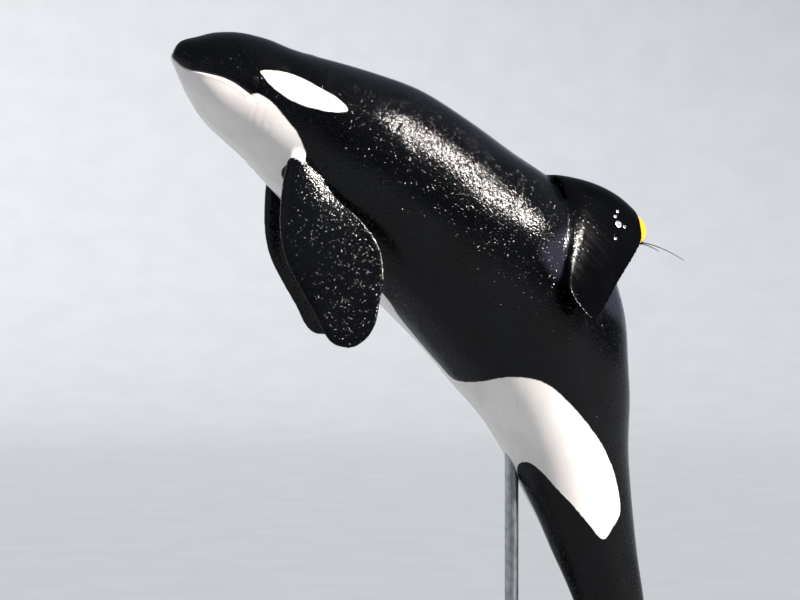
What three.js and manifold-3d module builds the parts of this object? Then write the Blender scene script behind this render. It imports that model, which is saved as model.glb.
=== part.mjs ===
// A life-size orca, a large male, leaping: its spine bows over, its tall back fin has folded over to its left,
// and a small tag is fixed to that fin. Two rods on a flat base carry it.
// Millimetres, +Z up. The origin is the middle of the base's underside, and the head points to -X.
import * as THREE from 'three';
import { mergeVertices } from 'three/addons/utils/BufferGeometryUtils.js';
import Module from 'manifold-3d';

const wasm = await Module();
wasm.setup();

// Driving dimensions. Stations are fractions of the body's length, from the snout to the notch of the flukes.
const LENGTH = 6700;
const HEADING = 17; // degrees by which the head is turned towards -Y
const BALANCE_STATION = 0.365; // this point of the spine is over the middle of the base
const BALANCE_HEIGHT = 4270;
const NOSE = 0.036; // length of the rounded snout
const NOSE_ROUND = 0.25; // 0.5 would round it as an ellipse, less makes it blunter
const GAP = 0.3;
const BODY_SIDES = 32;
const BODY_RINGS = 41;

// Degrees that the spine climbs towards the head
const PITCH = [
  { at: 0, degrees: 22 },
  { at: 0.1, degrees: 24.5 },
  { at: 0.22, degrees: 34 },
  { at: 0.36, degrees: 40 },
  { at: 0.43, degrees: 50 },
  { at: 0.49, degrees: 63.5 },
  { at: 0.56, degrees: 71 },
  { at: 0.68, degrees: 74 },
  { at: 0.85, degrees: 75 },
  { at: 1, degrees: 72 },
];

// Half heights above and below the spine, and half widths, at stations of the body
const BODY = [
  { at: 0, top: 187, bottom: 45, side: 90, full: 2.0 },
  { at: 0.014, top: 186, bottom: 125, side: 165, full: 2.05 },
  { at: 0.031, top: 264, bottom: 211, side: 234, full: 2.1 },
  { at: 0.054, top: 335, bottom: 312, side: 295, full: 2.1 },
  { at: 0.08, top: 372, bottom: 378, side: 355, full: 2.1 },
  { at: 0.11, top: 390, bottom: 432, side: 410, full: 2.1 },
  { at: 0.155, top: 465, bottom: 525, side: 495, full: 2.1 },
  { at: 0.24, top: 630, bottom: 655, side: 600, full: 2.1 },
  { at: 0.34, top: 698, bottom: 738, side: 650, full: 2.1 },
  { at: 0.42, top: 778, bottom: 755, side: 650, full: 2.05 },
  { at: 0.5, top: 700, bottom: 705, side: 600, full: 2.0 },
  { at: 0.58, top: 545, bottom: 545, side: 480, full: 2.0 },
  { at: 0.66, top: 390, bottom: 425, side: 340, full: 1.95 },
  { at: 0.75, top: 295, bottom: 322, side: 215, full: 1.85 },
  { at: 0.84, top: 225, bottom: 230, side: 135, full: 1.8 },
  { at: 0.91, top: 165, bottom: 165, side: 110, full: 1.9 },
  { at: 0.96, top: 95, bottom: 95, side: 120, full: 2.0 },
  { at: 0.985, top: 45, bottom: 45, side: 90, full: 2.0 },
];
const HEAD_END = 0.135;
const CHEST_END = 0.36;
const BELLY_END = 0.6;
const BODY_END = 0.985;

const EYE_RADIUS = 30;
const EYE_STATION = 0.082;
const EYE_HEIGHT = 26; // above the spine
const EYE_BULGE = 9; // how far the eyeball stands out of the head

// Where each root's middle is, how far below the spine, and how the flipper leans back and out as it hangs
const FLIPPER_POSE = {
  left: { station: 0.175, drop: 408, sweep: 0.18, spread: 0.26 },
  right: { station: 0.181, drop: 304, sweep: 0.295, spread: 0.19 },
};
const FLIPPER_OUT = 430;
const FLIPPER_LENGTH = 1230;
const FLIPPER_CHORD = new THREE.Vector3(1, -0.1, 0.12); // the way its sections run, front to rear
const FLIPPER = [
  { at: -0.14, lead: -95, trail: 60, thick: 90 },
  { at: 0, lead: -178, trail: 95, thick: 88 },
  { at: 0.15, lead: -242, trail: 160, thick: 80 },
  { at: 0.3, lead: -284, trail: 290, thick: 70 },
  { at: 0.45, lead: -288, trail: 368, thick: 60 },
  { at: 0.62, lead: -240, trail: 362, thick: 50 },
  { at: 0.78, lead: -184, trail: 285, thick: 40 },
  { at: 0.9, lead: -150, trail: 215, thick: 30 },
  { at: 0.97, lead: -95, trail: 130, thick: 20 },
  { at: 1, lead: -15, trail: 45, thick: 8 },
];

const FIN_STATION = 0.381; // where the front of the back fin meets the back
const FIN_ROOT = 718; // height of that point above the spine
const FIN_CREST = 10; // degrees by which the fold's crest rises from the back
const FIN_BEND_RADIUS = 200;
const FIN_BEND = 150; // degrees that the fin turns over the crest
const FIN_CREST_LENGTH = 1050;
const FIN_CREST_BULGE = 145; // the crest bows up between its ends, and the bow fades down the hanging part
const FIN_CREST_LEAN = 1.35; // above 1 the bow is highest behind its middle
const FIN_BULGE_FADE = 700;
// Front and rear edges of the fin before it folds, measured back from its front, at heights above it
const FIN = [
  { at: -520, lead: 150, trail: 1130, thick: 90 },
  { at: -200, lead: 40, trail: 1020, thick: 90 },
  { at: 0, lead: 0, trail: 880, thick: 84 },
  { at: 160, lead: 38, trail: 740, thick: 78 },
  { at: 300, lead: 75, trail: 685, thick: 72 },
  { at: 420, lead: 110, trail: 712, thick: 66 },
  { at: 520, lead: 137, trail: 742, thick: 62 },
  { at: 640, lead: 160, trail: 718, thick: 56 },
  { at: 760, lead: 182, trail: 674, thick: 50 },
  { at: 910, lead: 205, trail: 620, thick: 42 },
  { at: 1085, lead: 235, trail: 566, thick: 30 },
  { at: 1180, lead: 310, trail: 532, thick: 20 },
  { at: 1250, lead: 430, trail: 490, thick: 10 },
];

const FLUKE_SPAN = 1880; // tip to tip
const FLUKE_STATION = 0.885; // where the front edges leave the tail
const FLUKE_PLANE = 0.95; // the spine's slope here is the slope of the flukes
const FLUKE_DROOP = 60; // of the tips, below the flukes' root
const FLUKE = [
  { at: 0, lead: 75, trail: 690, thick: 84 },
  { at: 0.03, lead: 95, trail: 745, thick: 84 },
  { at: 0.1, lead: 150, trail: 800, thick: 78 },
  { at: 0.25, lead: 255, trail: 835, thick: 62 },
  { at: 0.45, lead: 395, trail: 850, thick: 46 },
  { at: 0.65, lead: 530, trail: 850, thick: 34 },
  { at: 0.82, lead: 655, trail: 853, thick: 24 },
  { at: 0.94, lead: 765, trail: 866, thick: 15 },
  { at: 1, lead: 845, trail: 885, thick: 7 },
];

// The tag's housing, as heights up the flat fin with its rear edge there; it follows the fin's bend
const TAG_HOUSING = [
  { at: 235, trail: 715 },
  { at: 300, trail: 756 },
  { at: 380, trail: 776 },
  { at: 470, trail: 780 },
  { at: 535, trail: 752 },
  { at: 600, trail: 680 },
];
const TAG_LEAD = 455;
const TAG_CORNER = 14; // radius of its long edges
const TAG_FACES = [6, 80]; // how far its faces are off the middle of the fin's thickness
const TAG_PINS = [[507, 550, 27], [556, 552, 12], [470, 505, 13], [480, 460, 12], [505, 655, 12]];
const PIN_LIFT = 27; // of a washer's foot, off the middle of the fin's thickness
const PIN_REACH = 12; // how deep a pin stands in the fin below its washer
const WASHER = { thick: 6, edge: 1 };
const BOLT = { height: 17, bevel: 3 };
const WHIP_HEIGHT = 520;
const ANTENNAS = [[330, 42], [150, 58]]; // length, and lift off the middle of the fin's thickness
const ANTENNA_RADIUS = 4;
const ANTENNA_REACH = 0.95; // shares of its length: how far it reaches back,
const ANTENNA_DIP = 0.16; // how far its root's slope takes it down, and how far it sags besides
const ANTENNA_SAG = 0.24;

const BASE_SIZE = new THREE.Vector3(2900, 1800, 60);
const BASE_CORNER = 90;
const BASE_BEVEL = 6;
const ROD_RADIUS = 50;
const ROD_FOOT = { radius: 120, height: 24, bevel: 6, fillet: 14 };
const ROD_STATIONS = [0.45, 0.73];

const rad = THREE.MathUtils.degToRad;
const V = (x, y, z) => new THREE.Vector3(x, y, z);

// A smooth curve through one named value of a list of stations
function smooth(list, key, at) {
  const last = list.length - 1;
  let i = 0;
  while (i < last - 1 && at > list[i + 1].at) i += 1;
  const slope = (k) => {
    const a = list[Math.max(k - 1, 0)];
    const b = list[Math.min(k + 1, last)];
    return (b[key] - a[key]) / (b.at - a.at);
  };
  const [p, q] = [list[i], list[i + 1]];
  const span = q.at - p.at;
  const u = (at - p.at) / span;
  const [u2, u3] = [u * u, u * u * u];
  return (2 * u3 - 3 * u2 + 1) * p[key] + (u3 - 2 * u2 + u) * span * slope(i)
    + (3 * u2 - 2 * u3) * q[key] + (u3 - u2) * span * slope(i + 1);
}

// The spine lies in the plane y = 0 of the animal's own frame: x backwards, -y to its left, z up.
const pitchAt = (at) => rad(smooth(PITCH, 'degrees', at));

const backward = (at) => V(Math.cos(pitchAt(at)), 0, -Math.sin(pitchAt(at)));
const dorsal = (at) => V(Math.sin(pitchAt(at)), 0, Math.cos(pitchAt(at)));

function spineAt(at) {
  const steps = 60;
  const step = (at - BALANCE_STATION) / steps;
  const point = V(0, 0, BALANCE_HEIGHT);
  for (let i = 0; i < steps; i += 1) {
    point.addScaledVector(backward(BALANCE_STATION + (i + 0.5) * step), step * LENGTH);
  }
  return point;
}

// A point of the skin: angle 0 is the animal's left, 90 its back, 270 its belly
function skinPoint(at, angle, outset = 0) {
  const u = Math.min(Math.max(at, 0) / NOSE, 1);
  const round = (1 - (1 - u) ** 2) ** NOSE_ROUND;
  const [c, s] = [Math.cos(angle), Math.sin(angle)];
  const power = 2 / smooth(BODY, 'full', at);
  const high = smooth(BODY, s > 0 ? 'top' : 'bottom', at) * round + outset;
  const wide = smooth(BODY, 'side', at) * round + outset;
  return spineAt(at)
    .addScaledVector(dorsal(at), high * Math.sign(s) * Math.abs(s) ** power)
    .add(V(0, -wide * Math.sign(c) * Math.abs(c) ** power, 0));
}

// Closes rings of points, all of one count, into a solid with its faces pointing out
function loft(rings) {
  const count = rings[0].length;
  const points = rings.flat();
  const faces = [];
  for (let r = 0; r + 1 < rings.length; r += 1) {
    for (let k = 0; k < count; k += 1) {
      const [a, b] = [r * count + k, r * count + (k + 1) % count];
      faces.push(a, b, a + count, b, b + count, a + count);
    }
  }
  for (const [r, turned] of [[0, true], [rings.length - 1, false]]) {
    const middle = rings[r].reduce((sum, p) => sum.add(p), V(0, 0, 0)).divideScalar(count);
    points.push(middle);
    for (let k = 0; k < count; k += 1) {
      const [a, b] = [r * count + k, r * count + (k + 1) % count];
      faces.push(...(turned ? [b, a] : [a, b]), points.length - 1);
    }
  }
  const geometry = new THREE.BufferGeometry().setFromPoints(points);
  geometry.setIndex(volume(points, faces) < 0 ? faces.reverse() : faces);
  return geometry;
}

function volume(points, faces) {
  let sum = 0;
  for (let i = 0; i < faces.length; i += 3) {
    const [a, b, c] = [points[faces[i]], points[faces[i + 1]], points[faces[i + 2]]];
    sum += a.dot(b.clone().cross(c));
  }
  return sum / 6;
}

// The body between two stations. Rings crowd towards the snout, where the shape changes fastest.
function body(from, to, outset = 0) {
  const stations = [from];
  for (let i = 1; i < BODY_RINGS; i += 1) {
    const at = BODY_END * (i / BODY_RINGS) ** 1.35;
    if (at > from + 0.004 && at < to - 0.004) stations.push(at);
  }
  stations.push(to);
  const angles = [...Array(BODY_SIDES).keys()].map((k) => 2 * Math.PI * k / BODY_SIDES);
  return loft(stations.map((at) => angles.map((angle) => skinPoint(at, angle, outset))));
}

// A fin whose outline is read from a list of sections; place sets a flat point (across, along, off) in space
function blade(list, from, to, rings, place) {
  const half = 8;
  const sections = [];
  for (let i = 0; i <= rings; i += 1) {
    const at = from + (to - from) * (1 - (1 - i / rings) ** 1.5);
    const lead = smooth(list, 'lead', at);
    const trail = smooth(list, 'trail', at);
    const thick = smooth(list, 'thick', at) / 2;
    const ring = [];
    for (let k = 0; k < 2 * half; k += 1) {
      const c = (1 - Math.cos(Math.PI * k / half)) / 2;
      const off = thick * Math.sin(Math.PI * c ** 0.65) ** 0.8 * (k < half ? 1 : -1);
      ring.push(place(lead + (trail - lead) * c, at, k % half === 0 ? 0 : off));
    }
    sections.push(ring);
  }
  return loft(sections);
}

function solid(geometry) {
  const plain = geometry.clone();
  plain.deleteAttribute('normal');
  plain.deleteAttribute('uv');
  const merged = mergeVertices(plain, 1e-4);
  return new wasm.Manifold(new wasm.Mesh({
    numProp: 3,
    vertProperties: merged.attributes.position.array,
    triVerts: new Uint32Array(merged.index.array),
  }));
}

function geometryOf(shape) {
  const mesh = shape.getMesh();
  const geometry = new THREE.BufferGeometry();
  geometry.setAttribute('position', new THREE.BufferAttribute(mesh.vertProperties, 3));
  geometry.setIndex(new THREE.BufferAttribute(mesh.triVerts, 1));
  return geometry;
}

const bodySpace = solid(body(0, BODY_END + 2 * GAP / LENGTH, 1.5 * GAP));

// Left is -y; a fin made for the left side is mirrored for the right.
const mirrored = (point) => V(point.x, -point.y, point.z);

function flipperPlace(side, { station, drop, sweep, spread }) {
  const root = spineAt(station).addScaledVector(dorsal(station), -drop);
  root.y = -FLIPPER_OUT;
  const along = V(sweep, -spread, -1).normalize();
  const across = FLIPPER_CHORD.clone().addScaledVector(along, -FLIPPER_CHORD.dot(along)).normalize();
  const off = along.clone().cross(across);
  return (x, at, n) => {
    const point = root.clone()
      .addScaledVector(along, at * FLIPPER_LENGTH)
      .addScaledVector(across, x)
      .addScaledVector(off, n);
    return side === 'left' ? point : mirrored(point);
  };
}

function flipper(side) {
  const place = flipperPlace(side, FLIPPER_POSE[side]);
  return geometryOf(solid(blade(FLIPPER, FLIPPER[0].at, 1, 16, place)).subtract(bodySpace));
}

// Takes a point of the flat fin over the crest of the fold, down to the animal's left
function foldedFin(x, height, off) {
  const crest = rad(FIN_CREST);
  const turn = rad(FIN_BEND);
  const ahead = backward(FIN_STATION);
  const up = dorsal(FIN_STATION);
  const alongCrest = ahead.clone().multiplyScalar(Math.cos(crest)).addScaledVector(up, Math.sin(crest));
  const overCrest = up.clone().multiplyScalar(Math.cos(crest)).addScaledVector(ahead, -Math.sin(crest));
  const left = V(0, -1, 0);
  const s = x * Math.cos(crest) + height * Math.sin(crest);
  const reach = height * Math.cos(crest) - x * Math.sin(crest) + FIN_BEND_RADIUS;
  const angle = Math.min(Math.max(reach / FIN_BEND_RADIUS, 0), turn);
  const rest = reach - angle * FIN_BEND_RADIUS;
  const u = Math.min(Math.max(s / FIN_CREST_LENGTH, 0), 1);
  const fade = 1 - THREE.MathUtils.smoothstep(rest, 0, FIN_BULGE_FADE);
  const w = u ** FIN_CREST_LEAN;
  const bulge = 4 * FIN_CREST_BULGE * w * (1 - w) * fade;
  const rise = FIN_BEND_RADIUS * (Math.sin(angle) - 1) + rest * Math.cos(angle) + bulge;
  const out = FIN_BEND_RADIUS * (1 - Math.cos(angle)) + rest * Math.sin(angle);
  return spineAt(FIN_STATION)
    .addScaledVector(up, FIN_ROOT)
    .addScaledVector(alongCrest, s)
    .addScaledVector(overCrest, rise - off * Math.sin(angle))
    .addScaledVector(left, out + off * Math.cos(angle));
}

const finBlade = (extra) => {
  const sections = FIN.map((section) => ({ ...section, thick: section.thick + 2 * extra }));
  return solid(blade(sections, FIN[0].at, FIN.at(-1).at, 28, foldedFin));
};
const finSpace = finBlade(GAP);
const dorsalFin = () => geometryOf(finBlade(0).subtract(bodySpace));

// Sets a shape that stands on z = 0 onto the fin's outer face: x along the fin's base, y up the fin
function ontoFin(shape, x, height, lift) {
  const centre = foldedFin(x, height, -lift);
  const out = foldedFin(x, height, -lift - 1).sub(centre).normalize();
  const along = foldedFin(x + 1, height, -lift).sub(centre);
  along.addScaledVector(out, -along.dot(out)).normalize();
  const up = out.clone().cross(along);
  return shape.applyMatrix4(new THREE.Matrix4().makeBasis(along, up, out).setPosition(centre));
}

// The tag's housing lies under the folded fin, hollowed to fit it, and juts out past its rear edge.
function tagHousing() {
  const [inner, outer] = TAG_FACES;
  const [low, high] = [TAG_HOUSING[0].at, TAG_HOUSING.at(-1).at];
  const rings = [];
  for (let i = 0; i <= 8; i += 1) {
    const height = low + (high - low) * i / 8;
    const trail = smooth(TAG_HOUSING, 'trail', height);
    const ring = [];
    for (let k = 0; k < 16; k += 1) {
      const turn = Math.PI * (Math.floor(k / 4) / 2 + (k % 4) / 6);
      const x = Math.floor(k / 4) % 3 === 0 ? trail - TAG_CORNER : TAG_LEAD + TAG_CORNER;
      const off = k < 8 ? outer - TAG_CORNER : inner + TAG_CORNER;
      ring.push(foldedFin(x + TAG_CORNER * Math.cos(turn), height, off + TAG_CORNER * Math.sin(turn)));
    }
    rings.push(ring);
  }
  return geometryOf(solid(loft(rings)).subtract(finSpace));
}

// A bolt head on a round washer, on the fin's outer face
function tagPin([x, height, radius]) {
  const { thick, edge } = WASHER;
  const head = radius / 2;
  const outline = [
    [0, -PIN_REACH], [radius, -PIN_REACH], [radius, thick - edge], [radius - edge, thick], [head, thick],
    [head, BOLT.height - BOLT.bevel], [head - edge, BOLT.height], [0, BOLT.height],
  ].map((corner) => new THREE.Vector2(...corner));
  const shape = new THREE.LatheGeometry(outline, 14).rotateX(Math.PI / 2);
  return geometryOf(solid(ontoFin(shape, x, height, PIN_LIFT)).subtract(finSpace));
}

// A thin whip that springs from the housing's rear edge and bows under its own weight
function antenna(length, lift) {
  const start = foldedFin(smooth(TAG_HOUSING, 'trail', WHIP_HEIGHT) + 4 * GAP, WHIP_HEIGHT, lift);
  const [reach, drop] = [V(Math.cos(rad(HEADING)), -Math.sin(rad(HEADING)), 0), V(0, 0, -1)];
  const route = [0, 0.25, 0.5, 0.75, 1].map((u) => start.clone()
    .addScaledVector(reach, length * u * ANTENNA_REACH)
    .addScaledVector(drop, length * (ANTENNA_DIP * u + ANTENNA_SAG * u * u)));
  const curve = new THREE.CatmullRomCurve3(route);
  const section = new THREE.Shape().absarc(0, 0, ANTENNA_RADIUS, 0, 2 * Math.PI);
  return new THREE.ExtrudeGeometry(section, { steps: 10, curveSegments: 3, extrudePath: curve });
}

function fluke(side) {
  const root = spineAt(FLUKE_STATION);
  const place = (x, at, n) => {
    const point = root.clone()
      .addScaledVector(backward(FLUKE_PLANE), x)
      .addScaledVector(dorsal(FLUKE_PLANE), n - FLUKE_DROOP * at * at);
    point.y = -at * FLUKE_SPAN / 2;
    return side === 'left' ? point : mirrored(point);
  };
  return geometryOf(solid(blade(FLUKE, 2 * GAP / FLUKE_SPAN, 1, 14, place)).subtract(bodySpace));
}

function eyeCentre(side) {
  const onSkin = skinPoint(EYE_STATION, Math.asin(EYE_HEIGHT / smooth(BODY, 'top', EYE_STATION)));
  onSkin.y += EYE_RADIUS - EYE_BULGE;
  return side === 'left' ? onSkin : mirrored(onSkin);
}

function ball(centre, radius) {
  const geometry = new THREE.SphereGeometry(radius, 12, 8);
  return geometry.translate(centre.x, centre.y, centre.z);
}

// The line of the mouth, from before the snout to the corner of the lips, then down behind the jaw
const MOUTH = [[-0.02, -35], [0.006, -38], [0.03, -36], [0.055, -44], [0.07, -62], [0.0815, -98]];

function mouthPoint(at, height) {
  const point = spineAt(at).addScaledVector(dorsal(at), height);
  return new THREE.Vector2(point.x, point.z);
}

function jawSpace(outset) {
  const upper = MOUTH.map(([at, height]) => mouthPoint(at + outset / LENGTH, height + outset));
  const rear = [[0.089, -200], [0.096, -340], [0.102, -700]];
  const back = rear.map(([at, height]) => mouthPoint(at + outset / LENGTH, height));
  const outline = new THREE.Shape([...upper, ...back, mouthPoint(-0.04, -700)]);
  const space = new THREE.ExtrudeGeometry(outline, { depth: 1200, bevelEnabled: false });
  return solid(space.rotateX(Math.PI / 2).translate(0, 600, 0));
}

const wholeHead = solid(body(0.0006, HEAD_END - 0.2 / LENGTH));

function lowerJaw() {
  return geometryOf(wholeHead.intersect(jawSpace(0)));
}

function head() {
  let shape = wholeHead.subtract(jawSpace(GAP));
  for (const side of ['left', 'right']) {
    shape = shape.subtract(solid(ball(eyeCentre(side), EYE_RADIUS + GAP)));
  }
  return geometryOf(shape);
}

function bodyPart(from, to) {
  const trim = 0.2 / LENGTH;
  return body(from + trim, to === BODY_END ? to : to - trim);
}

function roundedBlock(size, corner, bevel) {
  const [w, d] = [size.x / 2 - bevel, size.y / 2 - bevel];
  const shape = new THREE.Shape();
  shape.moveTo(-w + corner, -d);
  shape.lineTo(w - corner, -d);
  shape.absarc(w - corner, -d + corner, corner, -Math.PI / 2, 0);
  shape.lineTo(w, d - corner);
  shape.absarc(w - corner, d - corner, corner, 0, Math.PI / 2);
  shape.lineTo(-w + corner, d);
  shape.absarc(-w + corner, d - corner, corner, Math.PI / 2, Math.PI);
  shape.lineTo(-w, -d + corner);
  shape.absarc(-w + corner, -d + corner, corner, Math.PI, 1.5 * Math.PI);
  const options = {
    depth: size.z - 2 * bevel, curveSegments: 5, bevelSize: bevel, bevelThickness: bevel, bevelSegments: 1,
  };
  return new THREE.ExtrudeGeometry(shape, options).translate(0, 0, bevel);
}

// A rod on a round foot, cut off where it meets the belly
function rod(station) {
  const top = spineAt(station);
  const floor = BASE_SIZE.z + GAP;
  const { radius, height, bevel, fillet } = ROD_FOOT;
  const outline = [
    [0, floor], [radius, floor], [radius, floor + height - bevel], [radius - bevel, floor + height],
    [ROD_RADIUS + fillet, floor + height], [ROD_RADIUS, floor + height + fillet], [ROD_RADIUS, top.z],
    [0, top.z],
  ].map(([x, y]) => new THREE.Vector2(x, y));
  const shape = new THREE.LatheGeometry(outline, 24).rotateX(Math.PI / 2).translate(top.x, 0, 0);
  return geometryOf(solid(shape).subtract(bodySpace));
}

const paint = (color, roughness, metalness = 0) => new THREE.MeshStandardMaterial({ color, roughness, metalness });
const BLACK_SKIN = 0x0b0c10;
const WHITE_SKIN = 0xe9e6e2;

const orca = new THREE.Group();
orca.rotation.z = rad(HEADING);

function add(name, geometry, material, parent = orca) {
  const mesh = new THREE.Mesh(geometry, material);
  mesh.name = name;
  parent.add(mesh);
  return mesh;
}

add('head', head(), paint(BLACK_SKIN, 0.25));
add('lower_jaw', lowerJaw(), paint(WHITE_SKIN, 0.3));
add('chest', bodyPart(HEAD_END, CHEST_END), paint(BLACK_SKIN, 0.25));
add('belly', bodyPart(CHEST_END, BELLY_END), paint(BLACK_SKIN, 0.25));
add('tail_stock', bodyPart(BELLY_END, BODY_END), paint(BLACK_SKIN, 0.25));
add('dorsal_fin', dorsalFin(), paint(BLACK_SKIN, 0.25));
add('flipper_left', flipper('left'), paint(BLACK_SKIN, 0.25));
add('flipper_right', flipper('right'), paint(BLACK_SKIN, 0.25));
for (const side of ['left', 'right']) {
  add(`fluke_${side}`, fluke(side), paint(BLACK_SKIN, 0.25));
  add(`eye_${side}`, ball(eyeCentre(side), EYE_RADIUS), paint(0x1a120c, 0.1));
}

add('tag_housing', tagHousing(), paint(0xd9a91a, 0.45));
TAG_PINS.forEach((pin, i) => {
  add(`tag_pin_${i + 1}`, tagPin(pin), paint(0xb9bdc2, 0.3, 1));
});
ANTENNAS.forEach(([length, lift], i) => {
  add(`tag_antenna_${i + 1}`, antenna(length, lift), paint(0x25262a, 0.4));
});

const model = new THREE.Group();
model.add(orca);
add('stand_base', roundedBlock(BASE_SIZE, BASE_CORNER, BASE_BEVEL), paint(0x2b2d30, 0.45, 0.4), model);
add('stand_rod_front', rod(ROD_STATIONS[0]), paint(0x8c9095, 0.3, 0.9));
add('stand_rod_rear', rod(ROD_STATIONS[1]), paint(0x8c9095, 0.3, 0.9));

export default model;
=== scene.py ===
"""The looks of a life-size orca model on its stand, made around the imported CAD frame."""

from math import cos, pi, radians, sin

import bmesh
import bpy
import numpy as np
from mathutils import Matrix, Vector


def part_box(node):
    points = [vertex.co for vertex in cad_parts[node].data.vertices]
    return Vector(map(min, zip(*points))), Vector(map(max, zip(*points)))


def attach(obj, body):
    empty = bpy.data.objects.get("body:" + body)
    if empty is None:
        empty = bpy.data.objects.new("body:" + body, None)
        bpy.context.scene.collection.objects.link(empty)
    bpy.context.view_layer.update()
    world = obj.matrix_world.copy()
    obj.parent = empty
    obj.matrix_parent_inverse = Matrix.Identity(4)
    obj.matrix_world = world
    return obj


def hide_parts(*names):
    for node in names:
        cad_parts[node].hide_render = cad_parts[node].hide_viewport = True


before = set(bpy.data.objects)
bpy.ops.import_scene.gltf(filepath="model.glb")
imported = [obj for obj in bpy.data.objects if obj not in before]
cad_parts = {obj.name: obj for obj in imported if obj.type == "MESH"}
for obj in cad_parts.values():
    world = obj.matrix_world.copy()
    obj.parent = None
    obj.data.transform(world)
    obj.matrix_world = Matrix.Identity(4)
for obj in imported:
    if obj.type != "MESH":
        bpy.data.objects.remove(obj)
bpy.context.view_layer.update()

# Driving sizes in metres, as in the CAD. The animal's own frame: x backwards, -y its left, z up
LENGTH = 6.7
HEADING = radians(17)
BALANCE_STATION = 0.365
BALANCE_HEIGHT = 4.27
NOSE = 0.036
NOSE_ROUND = 0.25
BODY_END = 0.985

# Station, the share of the body's length from the snout, and how far the spine dips there, in degrees
PITCH = [
    (0, 22), (0.1, 24.5), (0.22, 34), (0.36, 40), (0.43, 50), (0.49, 63.5), (0.56, 71),
    (0.68, 74), (0.85, 75), (1, 72),
]

# Station, height over the spine, depth under it, half width, fullness of the section. The first two
# heights are 15 and 11 mm off the CAD's, to keep the snout's outline.
BODY = [
    (0, 0.172, 0.045, 0.090, 2.0),
    (0.014, 0.197, 0.125, 0.165, 2.05),
    (0.031, 0.264, 0.211, 0.234, 2.1),
    (0.054, 0.335, 0.312, 0.295, 2.1),
    (0.08, 0.372, 0.378, 0.355, 2.1),
    (0.11, 0.390, 0.432, 0.410, 2.1),
    (0.155, 0.465, 0.525, 0.495, 2.1),
    (0.24, 0.630, 0.655, 0.600, 2.1),
    (0.34, 0.698, 0.738, 0.650, 2.1),
    (0.42, 0.778, 0.755, 0.650, 2.05),
    (0.5, 0.700, 0.705, 0.600, 2.0),
    (0.58, 0.545, 0.545, 0.480, 2.0),
    (0.66, 0.390, 0.425, 0.340, 1.95),
    (0.75, 0.295, 0.322, 0.215, 1.85),
    (0.84, 0.225, 0.230, 0.135, 1.8),
    (0.91, 0.165, 0.165, 0.110, 1.9),
    (0.96, 0.095, 0.095, 0.120, 2.0),
    (0.985, 0.045, 0.045, 0.090, 2.0),
]

# Share of the fin's length, leading edge, trailing edge, thickness
FLIPPER = [
    (-0.14, -0.095, 0.060, 0.090),
    (0, -0.178, 0.095, 0.088),
    (0.15, -0.242, 0.160, 0.080),
    (0.3, -0.284, 0.290, 0.070),
    (0.45, -0.288, 0.368, 0.060),
    (0.62, -0.240, 0.362, 0.050),
    (0.78, -0.184, 0.285, 0.040),
    (0.9, -0.150, 0.215, 0.030),
    (0.97, -0.095, 0.130, 0.020),
    (1, -0.015, 0.045, 0.008),
]
FLIPPER_LENGTH = 1.23
FLIPPER_OUT = 0.43
FLIPPER_BLACK = 0.03
FLIPPER_CHORD = (1.0, -0.1, 0.12)
FLIPPER_POSE = {
    "left": dict(station=0.175, drop=0.408, sweep=0.18, spread=0.26),
    "right": dict(station=0.181, drop=0.304, sweep=0.295, spread=0.19),
}

# Height up the back fin before it fell over, leading edge, trailing edge, thickness
FIN = [
    (-0.520, 0.150, 1.130, 0.090),
    (-0.200, 0.040, 1.020, 0.090),
    (0, 0, 0.880, 0.084),
    (0.160, 0.038, 0.740, 0.078),
    (0.300, 0.075, 0.685, 0.072),
    (0.420, 0.110, 0.712, 0.066),
    (0.520, 0.137, 0.742, 0.062),
    (0.640, 0.160, 0.718, 0.056),
    (0.760, 0.182, 0.674, 0.050),
    (0.910, 0.205, 0.620, 0.042),
    (1.085, 0.235, 0.566, 0.030),
    (1.180, 0.310, 0.532, 0.020),
    (1.250, 0.430, 0.490, 0.010),
]
FIN_STATION = 0.381
FIN_ROOT = 0.718
FIN_CREST = radians(10)
FIN_BEND_RADIUS = 0.2
FIN_BEND = radians(150)
FIN_CREST_LENGTH = 1.05
FIN_CREST_BULGE = 0.145
FIN_CREST_LEAN = 1.35
FIN_BULGE_FADE = 0.7

# Share of the half span, leading edge, trailing edge, thickness
FLUKE = [
    (0, 0.075, 0.690, 0.084),
    (0.03, 0.095, 0.745, 0.084),
    (0.1, 0.150, 0.800, 0.078),
    (0.25, 0.255, 0.835, 0.062),
    (0.45, 0.395, 0.850, 0.046),
    (0.65, 0.530, 0.850, 0.034),
    (0.82, 0.655, 0.853, 0.024),
    (0.94, 0.765, 0.866, 0.015),
    (1, 0.845, 0.885, 0.007),
]
FLUKE_SPAN = 1.88
FLUKE_STATION = 0.885
FLUKE_PLANE = 0.95
FLUKE_DROOP = 0.06

EYE_STATION = 0.082
EYE_HEIGHT = 0.026
EYE_RADIUS = 0.03

# Height of the body over the spine at the eye, the eye's slant, and half the size of its opening
EYE_BODY_HEIGHT = 0.372
EYE_TILT = radians(-9)
OPENING_LENGTH = 0.031
OPENING_HEIGHT = 0.0155

# The tag: height up the flat fin and the housing's rear edge there, and its other sizes
TAG_HOUSING = [
    (0.235, 0.715), (0.3, 0.756), (0.38, 0.776), (0.47, 0.780), (0.535, 0.752), (0.6, 0.680),
]
TAG_LEAD = 0.455
TAG_CORNER = 0.014
TAG_FACES = (0.006, 0.080)
TAG_PINS = [
    (0.507, 0.550, 0.027), (0.556, 0.552, 0.012), (0.470, 0.505, 0.013), (0.480, 0.460, 0.012),
    (0.505, 0.655, 0.012),
]
PIN_LIFT = 0.027

# Each whip's length and lift off the fin, and as shares of its length how far it reaches and sinks
ANTENNAS = [(0.33, 0.042), (0.15, 0.058)]
WHIP_HEIGHT = 0.52
WHIP_REACH = 0.95
WHIP_DIP = 0.16
WHIP_SAG = 0.24

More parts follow.
